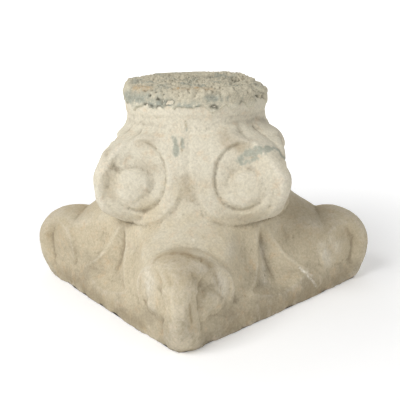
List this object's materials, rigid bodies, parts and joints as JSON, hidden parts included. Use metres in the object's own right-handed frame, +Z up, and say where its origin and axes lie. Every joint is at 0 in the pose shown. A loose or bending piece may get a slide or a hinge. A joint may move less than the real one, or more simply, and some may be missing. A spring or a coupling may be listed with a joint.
{
  "type": "ionic capital",
  "caption": "Carved limestone column capital with spiral volutes, shown inverted on its square abacus, with old mortar on the neck's bed.",
  "frame": {"origin": "middle of the abacus' underside, on the floor", "axes": "+Z up through the neck; +X and +Y square to two sides of the abacus"},
  "size_m": [0.4414, 0.4417, 0.366],
  "materials": {
    "limestone": "weathered cream limestone with brown patina",
    "mortar": "rough grey lime mortar"
  },
  "bodies": {
    "root": {"capital": "limestone", "mortar_bed": "mortar"}
  },
  "joints": []
}
